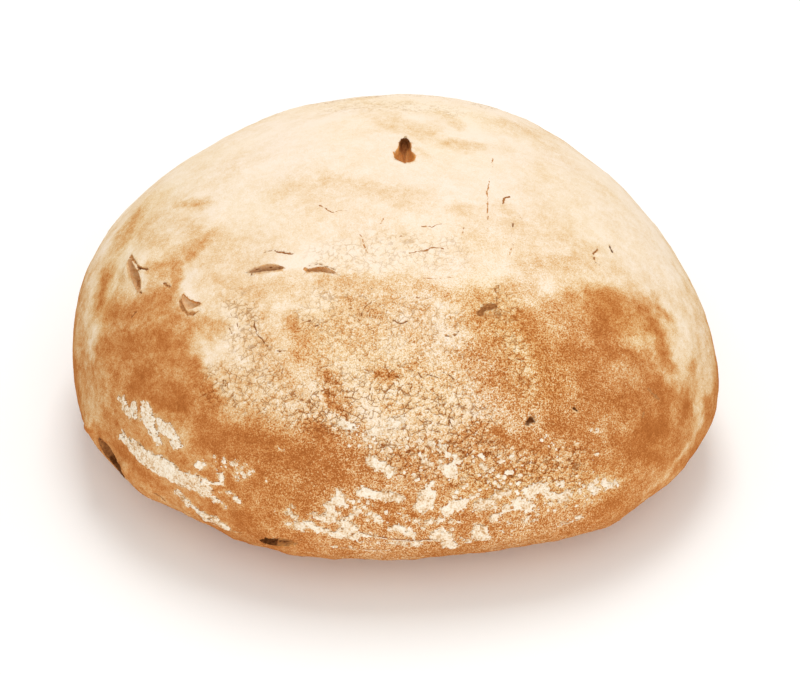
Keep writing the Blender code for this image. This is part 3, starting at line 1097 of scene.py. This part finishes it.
def flour_depth(points, patches, flakes):
    """Distance in from the edge of the caked flour, below 0 outside it."""
    bent = stirred(points, PATCHES_BENT)
    depth = farthest_in(bent, patches)
    near = depth > -EDGE_REACH
    for seed, raggedness in enumerate(EDGE_SIZES):
        depth[near] += relief(points[near], raggedness, EDGE_SEED + seed)
    region = farthest_in(bent, flakes)
    near = region > -FLAKES_START
    loose = flake_distance(stirred(points[near], FLAKES_BENT))
    loose += np.minimum(0, FLAKES_THINNED * (region[near] - FLAKES_FULL))
    depth[near] = np.maximum(depth[near], loose)
    return depth


# %% Patches on the crust
def in_photo(strokes):
    """The strokes with their pixels as places on the crust."""
    return [(half_width, photo_path(pixels)) for half_width, pixels in strokes]


def on_far_side(strokes):
    """The strokes with their turns and heights as places on the crust."""
    return [(half_width, far_side_path(corners)) for half_width, corners in strokes]


front_patches, front_flakes = in_photo(CAKED), in_photo(FLAKES)
far_patches, far_flakes = on_far_side(FAR_CAKED), on_far_side(FAR_FLAKES)
print(len(front_patches), "patches in front and", len(far_patches), "on the hidden sides")

# %% Loose flour round the caked patches
FRINGE = (-1.3 * MM, 0.2 * MM)  # it thins out between these distances from their edge
FRINGE_COVER = 0.50

caked = flour_depth(skin, front_patches + far_patches, front_flakes + far_flakes)
dust = np.maximum(dust, FRINGE_COVER * fade(caked, *FRINGE))
print("points under caked flour:", int((caked > 0).sum()))


# %% Keep numbers at the points of a mesh
def remember(piece, **numbers):
    """Stores one number for each point under each name, for a material to read."""
    for name, values in numbers.items():
        layer = piece.data.attributes.new(name, "FLOAT", "POINT")
        layer.data.foreach_set("value", np.clip(values, 0, 1).astype(np.float32))
    print("each point of", piece.name, "keeps:", ", ".join(numbers))


remember(crust, dust=dust, scar=scar, opened=opened, cracked=cracked, golden=golden, grit=grit)

# %% A shell of flour over the crust
SHELL_REACH = 0.9 * MM  # how far beyond the flour the shell goes on, under the crust
SHELL_CUTS = 3
SHELL_THICKNESS = 0.42 * MM
SHELL_ROUND = 0.40 * MM  # the edge rises to its full thickness over about this
SHELL_BURIED = 0.14 * MM
SHELL_LUMPS = (1.3, 0.09)  # size and reach in mm


def flour_shell(name, patches, flakes):
    """A thin, ragged layer of flour that stands off the crust."""
    mesh = bmesh.new()
    mesh.from_mesh(crust.data)
    mesh.faces.ensure_lookup_table()
    reached = flour_depth(face_middles(crust.data), patches, flakes) > -SHELL_REACH
    unused = [mesh.faces[index] for index in np.flatnonzero(~reached)]
    bmesh.ops.delete(mesh, geom=unused, context="FACES")
    bmesh.ops.subdivide_edges(mesh, edges=mesh.edges, cuts=SHELL_CUTS, use_grid_fill=True)
    data = bpy.data.meshes.new(name)
    mesh.to_mesh(data)
    mesh.free()

    points, outwards = positions(data), directions(data)
    depth = flour_depth(points, patches, flakes)
    rise = SHELL_THICKNESS * (1 - np.exp(-np.maximum(depth, 0) / SHELL_ROUND))
    rise += np.clip(depth, -SHELL_BURIED, 0)
    rise += relief(points, SHELL_LUMPS, 130) * (depth > 0)
    set_positions(data, points + outwards * rise[:, None])

    mesh = bmesh.new()
    mesh.from_mesh(data)
    mesh.verts.ensure_lookup_table()
    buried = [mesh.verts[index] for index in np.flatnonzero(depth < -SHELL_BURIED)]
    bmesh.ops.delete(mesh, geom=buried, context="VERTS")
    mesh.to_mesh(data)
    mesh.free()
    shell = bpy.data.objects.new(name, data)
    bpy.context.scene.collection.objects.link(shell)
    take(shell)
    bpy.ops.object.shade_smooth()
    print(name, "has", sum(len(face.vertices) - 2 for face in data.polygons), "triangles")
    return shell


front_flour = flour_shell("front_flour", front_patches, front_flakes)
far_flour = flour_shell("far_flour", far_patches, far_flakes)

# %% [markdown]
# ## Writing shader maths as sums
#
# A material is a graph of nodes. Adding each one by hand hides the idea behind dozens of lines, so a small
# class wraps a socket and lets Python's own operators add the Math and Vector Math nodes.


# %% A socket that can be used in a sum
class Wire:
    """An output of a node in a material, which can be added, subtracted, multiplied and divided."""

    def __init__(self, paint, socket):
        self.paint = paint
        self.socket = socket

    def __add__(self, other):
        return self.paint.combine("ADD", self, other)

    def __radd__(self, other):
        return self.paint.combine("ADD", other, self)

    def __sub__(self, other):
        return self.paint.combine("SUBTRACT", self, other)

    def __rsub__(self, other):
        return self.paint.combine("SUBTRACT", other, self)

    def __mul__(self, other):
        return self.paint.combine("MULTIPLY", self, other)

    def __rmul__(self, other):
        return self.paint.combine("MULTIPLY", other, self)

    def __truediv__(self, other):
        return self.paint.combine("DIVIDE", self, other)

    def __rtruediv__(self, other):
        return self.paint.combine("DIVIDE", other, self)


# %% A material that builds its own nodes
# The raised side of each plate gets painted light, and its lower side painted shade
LEANING = (-0.45, 0.30, 0.84)  # the way that the raised side of a plate points


class Paint:
    """A material with one Principled shader, and ways to add nodes to it."""

    def __init__(self, name):
        self.material = bpy.data.materials.new(name)
        self.material.use_nodes = True
        self.tree = self.material.node_tree
        self.shader = self.tree.nodes["Principled BSDF"]

    def node(self, kind, settings=None, sockets=None, output=0):
        """Adds a node with its settings and the values or wires of its sockets, and returns an output."""
        made = self.tree.nodes.new(kind)
        for name, value in (settings or {}).items():
            if name == "stops":
                self.set_stops(made.color_ramp, value)
            else:
                setattr(made, name, value)
        for name, value in (sockets or {}).items():
            self.feed(made.inputs[name], value)
        return Wire(self, made.outputs[output])

    def set_stops(self, ramp, stops):
        """Gives a ramp its places and colours, in order."""
        while len(ramp.elements) < len(stops):
            ramp.elements.new(1.0)
        for element, (place, colour) in zip(ramp.elements, stops):
            element.position = place
            element.color = (*colour, 1.0)

    def feed(self, socket, value):
        """Links a wire to a socket, or sets the socket's own value."""
        if isinstance(value, Wire):
            self.tree.links.new(value.socket, socket)
        else:
            socket.default_value = value

    def combine(self, operation, first, second):
        """A sum, difference, product or quotient of two values, at least one of them a wire."""
        values = (first, second)
        vectors = [value for value in values if isinstance(value, Wire) and value.socket.type != "VALUE"]
        if not vectors:
            return self.node("ShaderNodeMath", {"operation": operation}, {0: first, 1: second})
        if operation == "MULTIPLY":
            number = second if vectors[0] is first else first
            sockets = {"Vector": vectors[0], "Scale": number}
            return self.node("ShaderNodeVectorMath", {"operation": "SCALE"}, sockets)
        parts = [value if isinstance(value, Wire) else (value,) * 3 for value in values]
        return self.node("ShaderNodeVectorMath", {"operation": operation}, {0: parts[0], 1: parts[1]})

    def place_in_mm(self):
        """Where a point of the surface is in its piece, in millimetres."""
        return self.node("ShaderNodeTexCoord", output="Object") * (1 / MM)

    def remembered(self, name):
        """The number that the mesh keeps under this name."""
        return self.node("ShaderNodeAttribute", {"attribute_name": name}, output="Fac")

    def grain(self, place, size, detail=2.0):
        """Noise about 0, with grains of that size in mm."""
        sockets = {"Vector": place, "Scale": 1 / size, "Detail": detail}
        return self.node("ShaderNodeTexNoise", None, sockets) - 0.5

    def pushed(self, place, size, reach):
        """The place pushed about by up to half the reach, so that lines drawn there come out bent."""
        sockets = {"Vector": place, "Scale": 1 / size, "Detail": 2.0}
        return place + (self.node("ShaderNodeTexNoise", None, sockets, "Color") - 0.5) * reach

    def to_crack(self, place, size):
        """Distance in mm to the border between two plates of that size in mm."""
        settings = {"feature": "DISTANCE_TO_EDGE"}
        sockets = {"Vector": place, "Scale": 1 / size}
        return self.node("ShaderNodeTexVoronoi", settings, sockets, "Distance") * size

    def plate_tilt(self, place, size):
        """How high a place lies on its plate, as a share of the plate's size, for plates that lean."""
        middle = self.node("ShaderNodeTexVoronoi", None, {"Vector": place, "Scale": 1 / size}, "Position")
        settings, sockets = {"operation": "DOT_PRODUCT"}, {0: place - middle, 1: LEANING}
        return self.node("ShaderNodeVectorMath", settings, sockets, "Value") * (1 / size)

    def step(self, value, low, high, start=0.0, end=1.0):
        """A soft step from start at low to end at high."""
        sockets = {0: value, 1: low, 2: high, 3: start, 4: end}
        return self.node("ShaderNodeMapRange", {"interpolation_type": "SMOOTHSTEP"}, sockets)

    def larger(self, first, second):
        """The larger of two values."""
        return self.node("ShaderNodeMath", {"operation": "MAXIMUM"}, {0: first, 1: second})

    def ramp(self, value, stops):
        """Colours along a value from 0 to 1."""
        return self.node("ShaderNodeValToRGB", {"stops": stops}, {0: value})

    def blend(self, share, first, second, way="MIX"):
        """The first colour at a share of 0 and the second at 1, or the first changed by the second."""
        settings = {"data_type": "RGBA", "blend_type": way}
        return self.node("ShaderNodeMix", settings, {0: share, 6: first, 7: second}, output=2)

    def shade(self, colour, roughness, height, depth):
        """Feeds the shader: colour, roughness, and a height whose full reach is depth in metres."""
        self.feed(self.shader.inputs["Base Color"], colour)
        self.feed(self.shader.inputs["Roughness"], roughness)
        bump = self.node("ShaderNodeBump", None, {"Height": height, "Distance": depth}, output="Normal")
        self.feed(self.shader.inputs["Normal"], bump)
        self.shader.inputs["Specular IOR Level"].default_value = 0.0


# %% [markdown]
# ## The floured crust
#
# On the real crust, flour is a layer of white grains over a brown skin. Where it is thick the skin can't be
# seen, where it is thin the grains lie apart, and where the skin stretched, the layer cracked into a net.
# So one number, the cover, is worked out at every point from the painted dust, noise from 6 mm down to
# 0.4 mm, and the plates between the cracks, with painted light on the raised side of each plate and painted
# shade on its lower side. A ramp turns it into colour, and it is the height of the bumps.
# The noise counts most where the dust is half thick, because bare crust and deep flour are both even.

# %% Colours from brown crust to white flour
CRUST_TO_FLOUR = (
    (0.00, (0.345, 0.108, 0.025)),
    (0.15, (0.44, 0.150, 0.039)),
    (0.30, (0.54, 0.235, 0.078)),
    (0.45, (0.62, 0.345, 0.150)),
    (0.60, (0.685, 0.465, 0.260)),
    (0.75, (0.75, 0.570, 0.380)),
    (0.88, (0.80, 0.655, 0.500)),
    (1.00, (0.84, 0.720, 0.605)),
)
# Colours inside the marks and tears, from pale crumb to near black, where painted shade deepens the crumb's
# colour
INSIDE_MARKS = (
    (0.00, (0.82, 0.500, 0.210)),
    (0.22, (0.72, 0.330, 0.090)),
    (0.45, (0.50, 0.235, 0.085)),
    (0.60, (0.36, 0.150, 0.048)),
    (0.80, (0.22, 0.080, 0.024)),
    (1.00, (0.09, 0.028, 0.007)),
)
# Darkens the cracks, and the painted shadows under the leaning plates
CRACK_AND_SHADOW_TINT = (0.38, 0.20, 0.08, 1.0)
GOLDEN_TINT = (1.0, 0.985, 0.86, 1.0)
BUMP_DEPTH = 0.25 * MM

# %% Sizes in the flour, in mm
CLOUD = 6.0
CLUMP = 2.2
GRAIN = 0.8
SPECK = 0.40
PLATE = 2.0
SMALL_PLATE = 1.2

# %% Cracks between the plates of flour
# Size of the plates and of the stretches where their cracks are open, the noise between which they open,
# where the dark gap fades out, and where the flour beside it stops being worn: all but the noise in mm
WIDE_CRACKS = (4.6, 4.0, (-0.02, 0.07), (0.05, 0.16), (0.1, 0.8))
CRACKS = (PLATE, 2.4, (-0.05, 0.05), (0.04, 0.14), (0.1, 0.6))


def cracks_between(paint, place, bent, plate, stretch, opening, gap, worn):
    """The dark gap of the cracks between plates of one size, and the worn strip beside it."""
    distance = paint.to_crack(bent, plate)
    open_here = paint.step(paint.grain(place, stretch), *opening)
    return paint.step(distance, *gap, 1, 0) * open_here, paint.step(distance, *worn, 1, 0) * open_here


# %% Material of the crust
def crust_paint():
    """Brown crust under loose flour, with a net of fine cracks."""
    paint = Paint("floured_crust")
    place = paint.place_in_mm()
    dust = paint.remembered("dust")
    cracked = paint.remembered("cracked")
    grit = paint.remembered("grit")
    opened = paint.remembered("opened")
    loose = dust * (1 - dust) * 4  # 1 where the dust is half thick
    bent = paint.pushed(place, 3.6, 2.2)
    frayed = paint.pushed(place, 2.0, 1.2)

    # Grains of flour, and leaning plates with painted light on their raised side and painted shade on their
    # lower side
    grains = paint.grain(place, GRAIN)
    specks = paint.grain(place, SPECK, 0.0)
    plates_lit_and_shaded = paint.plate_tilt(bent, PLATE)
    small_plates_lit_and_shaded = paint.plate_tilt(frayed, SMALL_PLATE)
    cover = dust + paint.grain(place, CLOUD, 3.0) * (loose * 0.4 + 0.10)
    cover = cover + paint.grain(place, CLUMP) * (loose * 0.4 + 0.10)
    cover = cover + grains * (loose * 0.75 + 0.25) * grit
    cover = cover + specks * (loose * 0.75 + 0.50) * grit * (1.05 - cracked * 0.45)
    cover = cover + (plates_lit_and_shaded * 0.24 + small_plates_lit_and_shaded * 0.24) * loose * cracked

    # The net of cracks between plates, with painted shadows under the plates that lean
    wide_gap, wide_worn = cracks_between(paint, place, bent, *WIDE_CRACKS)
    gap, worn = cracks_between(paint, place, bent, *CRACKS)
    cover = cover - paint.larger(wide_worn, worn) * cracked * 0.16
    shadow = paint.step(plates_lit_and_shaded, -0.60, -0.25, 1, 0) * paint.step(paint.grain(place, 3.0), -0.02, 0.08)
    # The net holds the cracks and also the painted shadows under the leaning plates
    net = paint.larger(paint.larger(wide_gap, gap), shadow) * paint.step(cracked, 0.15, 0.95)

    # Colour of the cover, then the gold, the net with its painted shadows, and the inside of the marks with
    # their painted shade
    colour = paint.ramp(cover, CRUST_TO_FLOUR)
    colour = paint.blend(paint.remembered("golden"), colour, GOLDEN_TINT, "MULTIPLY")
    colour = paint.blend(net * paint.step(dust, 0.1, 0.6, 0.4, 0.85), colour, CRACK_AND_SHADOW_TINT, "MULTIPLY")
    dark = paint.remembered("scar") / paint.larger(opened, 0.1)
    inside = paint.ramp(dark + grains * 0.5, INSIDE_MARKS)
    colour = paint.blend(paint.step(opened * (1 + grains * 1.4), 0.22, 0.72), colour, inside)

    roughness = paint.step(cover, 0.1, 0.8, 0.62, 0.92)
    height = cover * 0.5 + grains * 0.3 - net * 0.30
    paint.shade(colour, roughness, height, BUMP_DEPTH)
    print("the crust's material has", len(paint.tree.nodes), "nodes")
    return paint.material


crust.data.materials.append(crust_paint())

# %% [markdown]
# Caked flour is the same cream all through, with grains of bran in it, fine cracks, and brown dents where
# the crust shines through its pores.

# %% Material of the caked flour
FLOUR_COLOURS = (
    (0.00, (0.48, 0.250, 0.100)),
    (0.22, (0.63, 0.430, 0.250)),
    (0.45, (0.75, 0.605, 0.435)),
    (0.70, (0.81, 0.700, 0.555)),
    (1.00, (0.86, 0.770, 0.640)),
)
FLOUR_ROUGHNESS = 0.93
PORE, BRAN, MOTTLE = 0.6, 1.6, 7.0  # sizes in mm


def flour_paint():
    """Cream flour with pores and bran."""
    paint = Paint("caked_flour")
    place = paint.place_in_mm()
    pores = paint.grain(place, PORE, 1.0)
    bran = paint.grain(place, BRAN, 3.0)
    cracks = paint.step(paint.to_crack(paint.pushed(place, 2.0, 1.2), 2.2), 0.08, 0.22, 1, 0)
    tone = pores * 1.5 + bran * 1.5 + paint.grain(place, MOTTLE) * 1.3 - cracks * 0.16 + 0.56
    height = pores * 0.5 + bran * 0.6
    paint.shade(paint.ramp(tone, FLOUR_COLOURS), FLOUR_ROUGHNESS, height, BUMP_DEPTH)
    print("the flour's material has", len(paint.tree.nodes), "nodes")
    return paint.material


flour_material = flour_paint()
for shell in (front_flour, far_flour):
    shell.data.materials.clear()
    shell.data.materials.append(flour_material)

# %% [markdown]
# ## Hand over
#
# The crust takes the imported loaf's place, and the flour rides on it.

# %% Ride on the imported body
for piece in (crust, front_flour, far_flour):
    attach(piece, "root")
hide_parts("loaf")
print("crust has", sum(len(face.vertices) - 2 for face in crust.data.polygons), "triangles")
